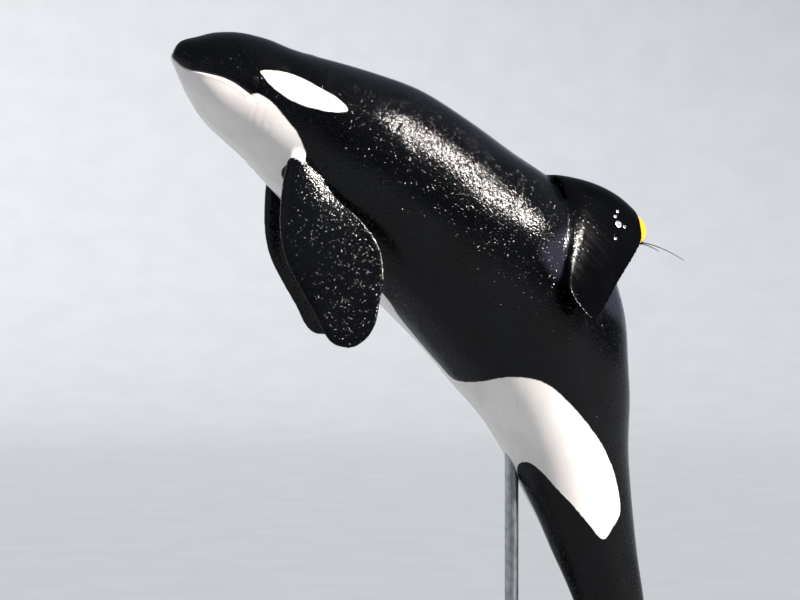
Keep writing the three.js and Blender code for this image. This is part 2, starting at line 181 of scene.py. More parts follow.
BASE_SIZE = (2.9, 1.8, 0.06)
BASE_CORNER = 0.09
ROD_RADIUS = 0.05
ROD_FOOT_RADIUS = 0.12
ROD_FOOT_HEIGHT = 0.024
ROD_STATIONS = {"front": 0.45, "rear": 0.73}
FLANGE_BOLT_CIRCLE = 0.09

# How finely the skin is made: grid size in metres, and rounds of smoothing
VOXEL = 0.008
BLEND_ROUNDS = 55
SMOOTH_ROUNDS = 10
FIN_ROUNDS = 8

# A fin's thinnest edge is rounded to this radius
EDGE_RADIUS = 0.0095

# Stations where the head ends and where the flukes begin
HEAD_END = 0.145
FLUKES_START = 0.87

# Distances to the edge of a marking are told up to this many metres
FAR = 0.12


# Curves through tables
def smooth(rows, column, at):
    table = np.array(rows, float)
    x, y = table[:, 0], table[:, column]
    at = np.asarray(at, float)
    i = np.clip(np.searchsorted(x, at) - 1, 0, len(x) - 2)
    before = np.maximum(np.arange(len(x)) - 1, 0)
    after = np.minimum(np.arange(len(x)) + 1, len(x) - 1)
    slope = (y[after] - y[before]) / (x[after] - x[before])
    span = x[i + 1] - x[i]
    u = np.clip((at - x[i]) / span, 0, 1)
    rise = (2 * u**3 - 3 * u**2 + 1) * y[i] + (3 * u**2 - 2 * u**3) * y[i + 1]
    return rise + (u**3 - 2 * u**2 + u) * span * slope[i] + (u**3 - u**2) * span * slope[i + 1]


def step(values, start, end):
    u = np.clip((values - start) / (end - start), 0, 1)
    return u * u * (3 - 2 * u)


# The spine, as points along the plane y = 0
STATIONS = np.linspace(-0.06, 1.06, 4481)
DIPS = np.radians(smooth(PITCH, 1, STATIONS))


def summed(rates):
    pieces = (rates[1:] + rates[:-1]) / 2 * (STATIONS[1] - STATIONS[0]) * LENGTH
    total = np.concatenate([[0], np.cumsum(pieces)])
    return total - np.interp(BALANCE_STATION, STATIONS, total)


SPINE_X = summed(np.cos(DIPS))
SPINE_Z = summed(-np.sin(DIPS)) + BALANCE_HEIGHT


def spine(at):
    x = np.interp(at, STATIONS, SPINE_X)
    return np.stack([x, np.zeros_like(x), np.interp(at, STATIONS, SPINE_Z)], -1)


def backward(at):
    dip = np.interp(at, STATIONS, DIPS)
    return np.stack([np.cos(dip), np.zeros_like(dip), -np.sin(dip)], -1)


def dorsal(at):
    dip = np.interp(at, STATIONS, DIPS)
    return np.stack([np.sin(dip), np.zeros_like(dip), np.cos(dip)], -1)


LEFT = np.array([0.0, -1.0, 0.0])


def snout_round(at):
    u = np.clip(np.asarray(at, float) / NOSE, 0, 1)
    return (1 - (1 - u) ** 2) ** NOSE_ROUND


def section(at, over):
    shrink = snout_round(at)
    high = np.where(over, smooth(BODY, 1, at), smooth(BODY, 2, at)) * shrink
    return high, smooth(BODY, 3, at) * shrink, smooth(BODY, 4, at)


# A point of the skin: angle 0 is the animal's left, 90 degrees its back, -90 its belly
def skin_point(at, angle):
    at, angle = np.broadcast_arrays(np.asarray(at, float), np.asarray(angle, float))
    c, s = np.cos(angle), np.sin(angle)
    high, wide, full = section(at, s > 0)
    up = high * np.sign(s) * np.abs(s) ** (2 / full)
    out = wide * np.sign(c) * np.abs(c) ** (2 / full)
    return spine(at) + dorsal(at) * up[..., None] + LEFT * out[..., None]


def to_world(points):
    c, s = cos(HEADING), sin(HEADING)
    x, y, z = points[..., 0], points[..., 1], points[..., 2]
    return np.stack([x * c - y * s, x * s + y * c, z], -1)


# Rings of points, as closed shapes
def loft(rings):
    count, around = rings.shape[:2]
    index = np.arange(count * around).reshape(count, around)
    first, second = index[:-1], index[1:]
    quads = np.stack([first, np.roll(first, -1, 1), np.roll(second, -1, 1), second], -1)
    faces = quads.reshape(-1, 4).tolist() + [index[0][::-1].tolist(), index[-1].tolist()]
    return rings.reshape(-1, 3), faces


def joined(shapes):
    points = []
    faces = []
    start = 0
    for shape_points, shape_faces in shapes:
        points.append(shape_points)
        faces += [[i + start for i in face] for face in shape_faces]
        start += len(shape_points)
    return np.concatenate(points), faces


def mesh_of(name, shape):
    points, faces = shape
    mesh = bpy.data.meshes.new(name)
    mesh.from_pydata(points.tolist(), [], faces)
    mesh.update()
    return mesh


def placed(name, data):
    thing = bpy.data.objects.new(name, data)
    bpy.context.scene.collection.objects.link(thing)
    return thing


def circle(sides):
    return np.linspace(0, 2 * pi, sides, endpoint=False)


def quarter_turn(sides):
    return np.linspace(0, pi / 2, sides)


# The body, with its rings closer together on the snout
def trunk():
    cap = NOSE * (1 - np.cos(np.linspace(0.03, pi / 2, 40)))
    rest = np.linspace(NOSE, BODY_END, 380)[1:]
    at = np.concatenate([cap, rest])[:, None]
    return loft(skin_point(at, circle(240)[None, :]))


# A fin whose outline is read from a table; place takes across, along and off to a point in space
def blade(rows, start, end, place):
    at = start + (end - start) * (1 - (1 - np.linspace(0, 1, 190)) ** 1.5)
    turn = circle(150)
    share = (1 - np.cos(turn)) / 2
    side = np.where(turn < pi, 1.0, -1.0)
    lead = smooth(rows, 1, at)[:, None]
    trail = smooth(rows, 2, at)[:, None]
    thick = smooth(rows, 3, at)[:, None] / 2
    camber = np.abs(np.sin(pi * share**0.65)) ** 0.8
    rounding = EDGE_RADIUS * np.sqrt(np.clip(np.sin(turn) ** 2 * 4, 0, 1))
    off = side * np.maximum(thick * camber, rounding)
    across = lead + (trail - lead) * share
    return loft(place(across, np.broadcast_to(at[:, None], across.shape), off))


def unit(vector):
    return vector / np.linalg.norm(vector)


def flipper_frame(station, drop, sweep, spread):
    root = spine(station) - dorsal(station) * drop
    root[1] = -FLIPPER_OUT
    along = unit(np.array([sweep, -spread, -1.0]))
    chord = np.array(FLIPPER_CHORD)
    chord = unit(chord - along * chord.dot(along))
    return root, along, chord, np.cross(along, chord)


def flipper_place(side):
    root, along, chord, face = flipper_frame(**FLIPPER_POSE[side])

    def place(x, at, off):
        point = root + along * (at * FLIPPER_LENGTH)[..., None]
        point = point + chord * x[..., None] + face * off[..., None]
        return point if side == "left" else point * [1, -1, 1]

    return place


# Takes a point of the flat back fin over the crest of its fold, down to the animal's left
def folded_fin(x, height, off):
    ahead, up = backward(FIN_STATION), dorsal(FIN_STATION)
    along_crest = ahead * cos(FIN_CREST) + up * sin(FIN_CREST)
    over_crest = up * cos(FIN_CREST) - ahead * sin(FIN_CREST)
    run = x * cos(FIN_CREST) + height * sin(FIN_CREST)
    reach = height * cos(FIN_CREST) - x * sin(FIN_CREST) + FIN_BEND_RADIUS
    angle = np.clip(reach / FIN_BEND_RADIUS, 0, FIN_BEND)
    rest = reach - angle * FIN_BEND_RADIUS
    u = np.clip(run / FIN_CREST_LENGTH, 0, 1) ** FIN_CREST_LEAN
    bulge = 4 * FIN_CREST_BULGE * u * (1 - u) * (1 - step(rest, 0, FIN_BULGE_FADE))
    rise = FIN_BEND_RADIUS * (np.sin(angle) - 1) + rest * np.cos(angle) + bulge
    out = FIN_BEND_RADIUS * (1 - np.cos(angle)) + rest * np.sin(angle)
    point = spine(FIN_STATION) + up * FIN_ROOT + along_crest * run[..., None]
    point = point + over_crest * (rise - off * np.sin(angle))[..., None]
    return point + LEFT * (out + off * np.cos(angle))[..., None]


def fluke_place(side):
    root = spine(FLUKE_STATION)

    def place(x, at, off):
        point = root + backward(FLUKE_PLANE) * x[..., None]
        point = point + dorsal(FLUKE_PLANE) * (off - FLUKE_DROOP * at * at)[..., None]
        point = point + LEFT * (at * FLUKE_SPAN / 2)[..., None]
        return point if side == "left" else point * [1, -1, 1]

    return place


# The trunk and its fins, of which the flukes overlap a little in the middle
def body_shapes():
    fluke_overlap = 0.02
    shapes = [trunk(), blade(FIN, FIN[0][0], FIN[-1][0], folded_fin)]
    for side in ("left", "right"):
        shapes.append(blade(FLIPPER, FLIPPER[0][0], 1, flipper_place(side)))
        shapes.append(blade(FLUKE, -fluke_overlap, 1, fluke_place(side)))
    return shapes


# One closed surface round all the shapes
def fused(shapes):
    raw = placed("skin_raw", mesh_of("skin_raw", joined(shapes)))
    remesh = raw.modifiers.new("fuse", "REMESH")
    remesh.mode = "VOXEL"
    remesh.voxel_size = VOXEL
    graph = bpy.context.evaluated_depsgraph_get()
    mesh = bpy.data.meshes.new_from_object(raw.evaluated_get(graph))
    bpy.data.objects.remove(raw)
    return mesh


# Halves the edges between chosen points
def refine(mesh, chosen):
    grid = bmesh.new()
    grid.from_mesh(mesh)
    edges = [e for e in grid.edges if chosen[e.verts[0].index] and chosen[e.verts[1].index]]
    bmesh.ops.subdivide_edges(grid, edges=edges, cuts=1, use_grid_fill=True)
    grid.to_mesh(mesh)
    grid.free()


def vectors_of(items, field):
    flat = np.empty(len(items) * 3, np.float32)
    items.foreach_get(field, flat)
    return flat.reshape(-1, 3).astype(float)


def points_of(mesh):
    return vectors_of(mesh.vertices, "co")


def normals_of(mesh):
    return vectors_of(mesh.vertex_normals, "vector")


def set_points(mesh, points):
    mesh.vertices.foreach_set("co", points.astype(np.float32).ravel())
    mesh.update()


# Gives the function that takes means over the points sharing an edge with each point
def neighbour_mean(mesh):
    pairs = np.empty(len(mesh.edges) * 2, np.int32)
    mesh.edges.foreach_get("vertices", pairs)
    firsts, seconds = pairs.reshape(-1, 2).T
    ends = np.concatenate([firsts, seconds])
    others = np.concatenate([seconds, firsts])
    count = len(mesh.vertices)
    degree = np.maximum(np.bincount(ends, minlength=count), 1)

    def mean(values):
        if values.ndim == 1:
            return np.bincount(ends, values[others], count) / degree
        return np.stack([mean(values[:, k]) for k in range(values.shape[1])], -1)

    return mean


# Where points lie on the body: station, angle and how far off its skin
def body_place(points):
    low = np.full(len(points), STATIONS[0])
    high = np.full(len(points), STATIONS[-1])
    halvings = 17
    for _ in range(halvings):
        middle = (low + high) / 2
        behind = ((points - spine(middle)) * backward(middle)).sum(-1) > 0
        low = np.where(behind, middle, low)
        high = np.where(behind, high, middle)
    at = np.clip((low + high) / 2, 0.0004, BODY_END)
    away = points - spine(at)
    up = (away * dorsal(at)).sum(-1)
    out = -away[:, 1]
    height, width, full = section(at, up > 0)
    rise = np.abs(up / height) ** (full / 2) * np.sign(up)
    reach = np.abs(out / width) ** (full / 2) * np.sign(out)
    level = (rise**2 + reach**2) ** (1 / full)
    off = (1 - 1 / np.maximum(level, 0.05)) * np.hypot(up, out)
    return at, np.arctan2(rise, reach), off


# Draws the surface onto the true body, and rounds the roots of the fins where it turns inwards
def settle(mesh):
    mean = neighbour_mean(mesh)
    points = points_of(mesh)
    shrink, regrow = 0.5, 0.52
    for _ in range(SMOOTH_ROUNDS):
        points += shrink * (mean(points) - points)
        points -= regrow * (mean(points) - points)
    at, angle, off = body_place(points)
    on_fin = step(off, 0.03, 0.08)[:, None]
    for _ in range(FIN_ROUNDS):
        points += shrink * on_fin * (mean(points) - points)
    past_snout = step(at, 0.004, 0.014)
    before_flukes = 1 - step(at, 0.93, 0.95)
    on_body = (np.abs(off) < 0.7 * VOXEL) * past_snout * before_flukes
    on_body = mean(mean(on_body))
    drawn = skin_point(at, angle)
    points += (drawn - points) * (on_body > 0.97)[:, None] * past_snout[:, None]
    set_points(mesh, points)
    inward = ((mean(points) - points) * normals_of(mesh)).sum(-1)
    hollow = ((inward > 0.07 * VOXEL) & (at > 0.13)).astype(float)
    spread_rounds = 9
    for _ in range(spread_rounds):
        hollow = mean(hollow)
    pull = 0.6 * np.clip(hollow * 6, 0, 1)[:, None]
    for _ in range(BLEND_ROUNDS):
        points += pull * (mean(points) - points)
    set_points(mesh, points)


# The markings turn a little round the body towards the tail, in degrees
TWIST = [(0, 0), (0.15, 0), (0.3, -4), (0.45, -8), (1, -10)]


# Angle up from the middle of either side, in degrees: 90 on the back, -90 on the belly
def side_angle(at, angle):
    degrees = np.degrees(angle) - smooth(TWIST, 1, at)
    degrees = (degrees + 180) % 360 - 180
    folded = np.where(degrees > 90, 180 - degrees, degrees)
    return np.where(degrees < -90, -180 - degrees, folded)


# Unrolled metres along and round the body, from a station and a side angle
def unrolled(at, degrees):
    radius = (smooth(BODY, 1, at) + smooth(BODY, 2, at) + 2 * smooth(BODY, 3, at)) / 4
    return np.stack([at * LENGTH, np.radians(degrees) * radius], -1)


# A smooth curve through a few points
def curve_through(corners, closed):
    corners = np.array(corners, float)
    count = len(corners)
    pieces = 5
    route = []
    for i in range(count if closed else count - 1):
        picks = [i - 1, i, i + 1, i + 2]
        if closed:
            picks = [k % count for k in picks]
        else:
            picks = [min(max(k, 0), count - 1) for k in picks]
        a, b, c, d = corners[picks]
        for u in np.arange(pieces) / pieces:
            bend = (2 * a - 5 * b + 4 * c - d) * u**2 + (3 * b - a - 3 * c + d) * u**3
            route.append(b + 0.5 * ((c - a) * u + bend))
    if not closed:
        route.append(corners[-1])
    return np.array(route)


def distance_to(points, route, closed=False):
    ends = np.roll(route, -1, 0) if closed else route[1:]
    starts = route if closed else route[:-1]
    nearest = np.full(len(points), 9.0)
    for start, end in zip(starts, ends):
        line = end - start
        away = points - start
        u = np.clip(away @ line / max(line @ line, 1e-12), 0, 1)
        gap = away - u[:, None] * line
        nearest = np.minimum(nearest, np.einsum("ij,ij->i", gap, gap))
    return np.sqrt(nearest)


def inside(points, route):
    within = np.zeros(len(points), bool)
    for (x0, y0), (x1, y1) in zip(route, np.roll(route, -1, 0)):
        if y0 == y1:
            continue
        crossing = (points[:, 1] > y0) != (points[:, 1] > y1)
        x = x0 + (points[:, 1] - y0) * (x1 - x0) / (y1 - y0)
        within ^= crossing & (points[:, 0] < x)
    return within


# Metres inside an outline on the skin, negative outside and never beyond FAR
def within_outline(at, degrees, corners):
    route = unrolled(*curve_through(corners, closed=True).T)
    flat = unrolled(at, degrees)
    value = np.full(len(flat), -FAR)
    low, high = route.min(0) - FAR, route.max(0) + FAR
    close = ((flat > low) & (flat < high)).all(-1)
    depth = distance_to(flat[close], route, closed=True)
    value[close] = np.where(inside(flat[close], route), depth, -depth)
    return np.clip(value, -FAR, FAR)


# The markings, as stations and side angles in degrees
MOUTH = [
    (0.0018, -58), (0.0045, -49), (0.0098, -42), (0.0266, -19), (0.0446, -9.4), (0.0581, -7.6),
    (0.0704, -9.4), (0.0819, -12),
]
CHIN_REAR = [
    (0.0885, -8.5), (0.1024, -9.4), (0.1143, -13), (0.1257, -17), (0.1413, -21.5), (0.154, -27.5),
    (0.1628, -33), (0.1585, -39), (0.1524, -47), (0.15, -56), (0.156, -63), (0.172, -66),
]
BELLY_BAND = [
    (0.2, -67), (0.25, -70), (0.33, -71), (0.371, -79), (0.42, -81), (0.47, -80), (0.5, -78),
]
FLANK = [
    (0.511, -66), (0.516, -50), (0.518, -38), (0.522, -29), (0.533, -17), (0.547, -9), (0.563, -3),
    (0.5855, 5), (0.6125, 15.5), (0.64, 26.5), (0.668, 36), (0.694, 39.5), (0.709, 36), (0.7195, 22),
    (0.7285, 3.5), (0.706, -10), (0.682, -21), (0.659, -32), (0.638, -40), (0.624, -50), (0.6265, -66),
]
PRONG = [(0.645, -77), (0.68, -80), (0.71, -83), (0.728, -88), (0.735, -100)]
UNDERSIDE = [(-0.012, -100), (-0.012, -58)] + MOUTH[1:] + CHIN_REAR + BELLY_BAND + FLANK + PRONG
EYE_PATCH = [
    (0.0823, 12.9), (0.0979, 20.3), (0.1126, 22.9), (0.1274, 22), (0.138, 20.1), (0.161, 17.2),
    (0.1741, 12.5), (0.1692, 7.9), (0.1548, 2.7), (0.1319, -1.1), (0.1143, -0.7), (0.0983, 2.5),
    (0.0868, 8.5),
]
SADDLE = [
    (0.415, 21), (0.4165, 30), (0.4195, 40), (0.424, 52), (0.434, 68), (0.445, 84), (0.45, 100),
    (0.548, 100), (0.538, 76), (0.512, 54), (0.484, 36), (0.4585, 23.5), (0.444, 19.5), (0.43, 19),
]
BLOWHOLE = [(0.1275, 82.5), (0.1315, 85.5), (0.133, 90), (0.1315, 94.5), (0.1275, 97.5)]


# A rounded ridge or groove, 1 on its line
def ridge(distance, width):
    return np.exp(-((distance / width) ** 2))


def distance_to_mouth(flat):
    return distance_to(flat, unrolled(*curve_through(MOUTH, closed=False).T))


# Heights in metres that the head's folds add to the skin: here the lips and the corner of the mouth
def mouth_height(flat, at):
    gap = distance_to_mouth(flat)
    groove = -0.010 * ridge(gap, 0.0065)
    lips = 0.0018 * ridge(gap - 0.020, 0.013)
    corner = unrolled(0.0845, -13.5)
    dimple = -0.005 * ridge(np.linalg.norm(flat - corner, axis=1), 0.022)
    return (groove + lips) * (at < 0.1) + dimple


# Metres from the eye's middle, along its slant and up from it
def eye_frame(flat):
    angle = np.degrees(np.arcsin(EYE_HEIGHT / EYE_BODY_HEIGHT))
    back, up = (flat - unrolled(EYE_STATION, angle)).T
    c, s = cos(EYE_TILT), sin(EYE_TILT)
    return back * c + up * s, up * c - back * s


# The eye's socket, lids, brow and the folds under it
def eye_height(flat):
    along, up = eye_frame(flat)
    lid = OPENING_HEIGHT * np.clip(1 - (along / OPENING_LENGTH) ** 2, -4, 1)
    rim = np.abs(up) - lid
    round_eye = np.hypot(along / 1.5, up)
    socket = -0.024 * (1 - step(rim, -0.004, 0.0015)) * (np.abs(along) < OPENING_LENGTH * 1.1)
    mound = 0.0075 * ridge(round_eye, 0.05)
    edge = 0.0042 * ridge(rim - 0.004, 0.0045) * ridge(along, 0.036)
    brow = -0.0032 * ridge(up - 0.030 + 7 * along**2, 0.0045) * ridge(along, 0.035)
    bag = -0.0028 * ridge(up + 0.029 - 7 * along**2, 0.0042) * ridge(along, 0.032)
    second = -0.0016 * ridge(up + 0.041 - 5 * along**2, 0.004) * ridge(along, 0.036)
    tear = -0.004 * ridge(up + 0.002, 0.004) * ridge(along + 0.040, 0.010)
    return mound + edge + brow + bag + second + tear + socket


# The blowhole's curved slit and its raised rim
def blowhole_height(at, degrees_round):
    route = unrolled(*curve_through(BLOWHOLE, closed=False).T)
    flat = unrolled(at, degrees_round)
    gap = distance_to(flat, route)
    return -0.016 * ridge(gap, 0.008) + 0.003 * ridge(gap - 0.022, 0.014)


# Short creases of the hide: stations and side angles of their ends, depth and width
CREASES = [
    ((0.091, -18), (0.096, -38), 0.0007, 0.014),
    ((0.101, -20), (0.107, -44), 0.0008, 0.016),
    ((0.113, -30), (0.119, -58), 0.0008, 0.018),
    ((0.118, -70), (0.118, -90), 0.0025, 0.016),
    ((0.132, -72), (0.132, -90), 0.0025, 0.018),
    ((0.462, -90), (0.474, -90), 0.010, 0.014),
    ((0.635, -90), (0.675, -90), 0.010, 0.010),
    ((0.700, -90), (0.712, -90), 0.008, 0.010),
]


def crease_height(flat):
    height = np.zeros(len(flat))
    for (start, start_angle), (end, end_angle), depth, width in CREASES:
        corners = unrolled(np.array([start, end]), np.array([start_angle, end_angle]))
        height -= depth * ridge(distance_to(flat, corners), width)
    return height


# Soft unevenness of muscle and blubber: a few long waves with fixed random directions
def soft_waves(places, seed, length, height):
    chance = np.random.default_rng(seed)
    total = np.zeros(len(places))
    count = 9
    for _ in range(count):
        way = unit(chance.normal(size=3))
        size = length * chance.uniform(0.7, 1.6)
        total += np.sin(places @ way * 2 * pi / size + chance.uniform(0, 2 * pi))
    return total * height / count**0.5


# Lifts and lowers the skin by its folds, creases and soft waves
def carve(mesh, at, angle, off, degrees):
    mean = neighbour_mean(mesh)
    points = points_of(mesh)
    flat = unrolled(at, degrees)
    on_body = 1 - step(np.abs(off), 0.02, 0.06)
    height = np.zeros(len(points))
    head = (at < 0.14) & (np.abs(off) < 0.03)
    height[head] += mouth_height(flat[head], at[head])
    height[head] += eye_height(flat[head])
    round_angle = np.degrees(angle[head])
    height[head] += blowhole_height(at[head], np.where(round_angle < -90, 270, round_angle))
    height += crease_height(flat) * on_body
    height += soft_waves(points, 5, 0.55, 0.0035) * on_body * step(at, 0.03, 0.1)
    normals = normals_of(mesh)
    for _ in range(2):
        normals = mean(normals)
    normals /= np.maximum(np.linalg.norm(normals, axis=1, keepdims=True), 1e-6)
    set_points(mesh, points + normals * height[:, None])


# White undersides of the flukes, with dark edges
def fluke_white(points, normals):
    away = points - spine(FLUKE_STATION)
    across = away @ backward(FLUKE_PLANE)
    share = np.abs(points[:, 1]) / (FLUKE_SPAN / 2)
    dark_lead, dark_trail, dark_tip, dark_root = 0.06, 0.05, 0.9, 0.07
    past_lead = across - smooth(FLUKE, 1, share) - dark_lead
    before_trail = smooth(FLUKE, 2, share) - dark_trail - across
    edge = np.minimum(past_lead, before_trail)
    edge = np.minimum(edge, (dark_tip - share) * 0.6)
    edge = np.minimum(edge, (share - dark_root) * 0.9)
    under = normals @ dorsal(FLUKE_PLANE) < 0
    near_plane = np.abs(away @ dorsal(FLUKE_PLANE)) < 0.16
    return np.where(under & near_plane, edge, -FAR)


# Metres outside the nearer flipper's root, where the hide is black
def off_flipper(points):
    gap = np.full(len(points), FAR)
    for side, sign in (("left", 1), ("right", -1)):
        root, along, chord, face = flipper_frame(**FLIPPER_POSE[side])
        away = points * [1, sign, 1] - root
        at = np.clip(away @ along / FLIPPER_LENGTH, FLIPPER[0][0], 1)
        x = away @ chord
        outside = np.maximum(smooth(FLIPPER, 1, at) - x, x - smooth(FLIPPER, 2, at))
        outside = np.maximum(outside, np.abs(away @ face) - smooth(FLIPPER, 3, at) / 2)
        outside = np.maximum(outside, FLIPPER_BLACK * FLIPPER_LENGTH - away @ along)
        outside = np.where(points[:, 1] * sign < 0, outside, FAR)
        gap = np.minimum(gap, outside)
    return gap


def add_layer(mesh, name, values):
    kind, field = ("FLOAT", "value") if values.ndim == 1 else ("FLOAT_VECTOR", "vector")
    layer = mesh.attributes.new(name, kind, "POINT")
    layer.data.foreach_set(field, values.astype(np.float32).ravel())


# Writes the markings, the painted shade along the mouth's groove and the lie of the skin onto its
# points, for the hide's material to read
def mark(mesh, at, off, degrees, points):
    flat = unrolled(at, degrees)
    white = within_outline(at, degrees, UNDERSIDE)
    white = np.maximum(white, within_outline(at, degrees, EYE_PATCH))
    on_fins = (off > 0.05) | (at > 0.8)
    white = np.where(on_fins, -FAR, white)
    by_flippers = np.where(at < 0.4, off_flipper(points) - 0.012, FAR)
    white = np.minimum(white, by_flippers)
    under_flukes = np.where(at > FLUKES_START, fluke_white(points, normals_of(mesh)), -FAR)
    white = np.maximum(white, under_flukes)
    saddle = np.where(off > 0.014, -FAR, within_outline(at, degrees, SADDLE))
    add_layer(mesh, "white", white)
    add_layer(mesh, "saddle", saddle)
    # The mouth's line, 1 on it: there the hide's colour gets painted shade, darkening the mouth's
    # groove
    add_layer(mesh, "mouth", ridge(distance_to_mouth(flat), 0.006) * (at < 0.1))
    on_fin = step(off, 0.01, 0.06) * (at > 0.35) * (at < 0.75)
    add_layer(mesh, "beaded", 1 - 0.9 * on_fin)
    add_layer(mesh, "lie", np.concatenate([flat, off[:, None]], 1))


def make_skin():
    mesh = fused(body_shapes())
    at, angle, off = body_place(points_of(mesh))
    refine(mesh, (at < HEAD_END) & (np.abs(off) < 0.05))
    at, angle, off = body_place(points_of(mesh))
    along, up = eye_frame(unrolled(at, side_angle(at, angle)))
    refine(mesh, (np.hypot(along, up) < 0.085) & (at < 0.13) & (np.abs(off) < 0.05))
    settle(mesh)
    points = points_of(mesh)
    at, angle, off = body_place(points)
    degrees = side_angle(at, angle)
    carve(mesh, at, angle, off, degrees)
    mark(mesh, at, off, degrees, points)
    set_points(mesh, to_world(points_of(mesh)))
    mesh.shade_smooth()
    mesh.name = "orca_skin"
    return placed("orca_skin", mesh)


# Materials. Their sRGB hex colours are turned to linear here
def linear(value):
    channels = [int(value[i:i + 2], 16) / 255 for i in (1, 3, 5)]
    return [c / 12.92 if c <= 0.04045 else ((c + 0.055) / 1.055) ** 2.4 for c in channels] + [1]


# Adds a node with its settings, sets or links its inputs, and gives the named output or else the first
def node(tree, kind, inputs, output=None, **settings):
    made = tree.nodes.new("ShaderNode" + kind)
    for name, value in settings.items():
        setattr(made, name, value)
    offered = [socket for socket in made.inputs if socket.enabled]
    pairs = inputs.items() if isinstance(inputs, dict) else enumerate(inputs)
    for key, value in pairs:
        socket = made.inputs[key] if isinstance(key, str) else offered[key]
        if isinstance(value, bpy.types.NodeSocket):
            tree.links.new(value, socket)
        else:
            socket.default_value = value
    if output:
        return made.outputs[output]
    return next((socket for socket in made.outputs if socket.enabled), None)


# Settings that several nodes share: a soft step between two values, and a blend of two colours
EASED = {"interpolation_type": "SMOOTHSTEP"}
COLOUR = {"data_type": "RGBA"}


def material(name):
    made = bpy.data.materials.new(name)
    made.use_nodes = True
    made.node_tree.nodes.clear()
    return made, made.node_tree


# Noise whose cells are size metres along each axis of the given place
def grain(tree, place, size, detail=2.0, roughness=0.5):
    scaled = node(tree, "Mapping", {"Vector": place, "Scale": [1 / s for s in size]})
    noise = {"Vector": scaled, "Scale": 1.0, "Detail": detail, "Roughness": roughness}
    return node(tree, "TexNoise", noise)


# Beads of water: low domes in some of a pattern's cells, size metres across and height metres tall.
# They are drawn some three times as wide as real ones, to show from the camera.
def standing_beads(tree, place, size, height):
    scaled = node(tree, "Mapping", {"Vector": place, "Scale": [1 / s for s in size]})
    distance = node(tree, "TexVoronoi", {"Vector": scaled, "Scale": 1.0}, "Distance")
    chance = node(tree, "TexVoronoi", {"Vector": scaled, "Scale": 1.0}, "Color")
    share = node(tree, "SeparateColor", [chance])
    kept = node(tree, "MapRange", [share, 0.55, 0.65], **EASED)
    dome = node(tree, "MapRange", [distance, 0.42, 0.08, 0, height], **EASED)
    return node(tree, "Math", [dome, kept], operation="MULTIPLY")


# Wet whale hide: smooth and rubbery, it mirrors a lamp sharply, broken into glints by standing beads.
# Its pores are drawn several times coarser than real ones, and shade is painted into the mouth's
# groove.
def wet_hide():
    made, tree = material("wet_whale_hide")
    lie = node(tree, "Attribute", [], "Vector", attribute_name="lie")
    names = ("white", "saddle", "mouth", "beaded")
    marks = [node(tree, "Attribute", [], "Fac", attribute_name=name) for name in names]
    white_depth, saddle_depth, mouth, beaded = marks

    broad = grain(tree, lie, (0.5, 0.35, 0.5), detail=3)
    streaks = grain(tree, lie, (0.3, 0.03, 0.3), detail=4, roughness=0.6)
    ragged = grain(tree, lie, (0.05, 0.03, 0.05), detail=3)

    depth = node(tree, "MapRange", [broad, 0.35, 0.7], **EASED)
    black = node(tree, "Mix", [depth, linear("#030304"), linear("#06070a")], **COLOUR)
    pale = node(tree, "Mix", [depth, linear("#f4efea"), linear("#e6deda")], **COLOUR)
    stain = node(tree, "MapRange", [streaks, 0.58, 0.78, 0, 0.3], **EASED)
    stained = node(tree, "Mix", [stain, pale, linear("#b5aaad")], **COLOUR)

    centred = node(tree, "Math", [streaks, 0.5], operation="SUBTRACT")
    drifted = node(tree, "Math", [centred, 0.05, saddle_depth], operation="MULTIPLY_ADD")
    saddle = node(tree, "MapRange", [drifted, -0.05, 0.05, 0, 0.9], **EASED)
    dark = node(tree, "Mix", [saddle, black, linear("#24242e")], **COLOUR)
    raggedness = node(tree, "Math", [ragged, 0.5], operation="SUBTRACT")
    frayed = node(tree, "Math", [raggedness, 0.012, white_depth], operation="MULTIPLY_ADD")
    is_white = node(tree, "MapRange", [frayed, -0.004, 0.004], **EASED)
    marked = node(tree, "Mix", [is_white, dark, stained], **COLOUR)
    # Painted shade: along the mouth's groove the colour is darkened to a near-black brown
    mouth_line_shade = node(tree, "Math", [mouth, 0.85], operation="MULTIPLY")
    colour = node(tree, "Mix", [mouth_line_shade, marked, linear("#17100f")], **COLOUR)

    beads = standing_beads(tree, lie, (0.034, 0.024, 0.028), 0.0035)
    small_beads = standing_beads(tree, lie, (0.017, 0.014, 0.016), 0.0016)
    both_beads = node(tree, "Math", [beads, small_beads], operation="ADD")
    ripples = grain(tree, lie, (0.02, 0.011, 0.014), detail=1)
    water = node(tree, "Math", [ripples, 0.0021, both_beads], operation="MULTIPLY_ADD")
    on_black = node(tree, "MapRange", [is_white, 0, 1, 1, 0.06])
    share = node(tree, "Math", [beaded, on_black], operation="MULTIPLY")
    pores = grain(tree, lie, (0.006, 0.004, 0.006), detail=1)
    pore_height = node(tree, "Math", [pores, 0.0001], operation="MULTIPLY")
    height = node(tree, "Math", [water, share, pore_height], operation="MULTIPLY_ADD")
    bump = node(tree, "Bump", {"Strength": 1.0, "Distance": 1.0, "Height": height})
    rough = node(tree, "MapRange", [streaks, 0.3, 0.7, 0.08, 0.13], **EASED)
    gleam = node(tree, "MapRange", [beaded, 0.1, 1, 0.1, 0.4])
    finish = {
        "Base Color": colour, "Roughness": rough, "IOR": 1.34, "Specular IOR Level": gleam,
        "Normal": bump,
    }
    node(tree, "OutputMaterial", [node(tree, "BsdfPrincipled", finish)])
    return made


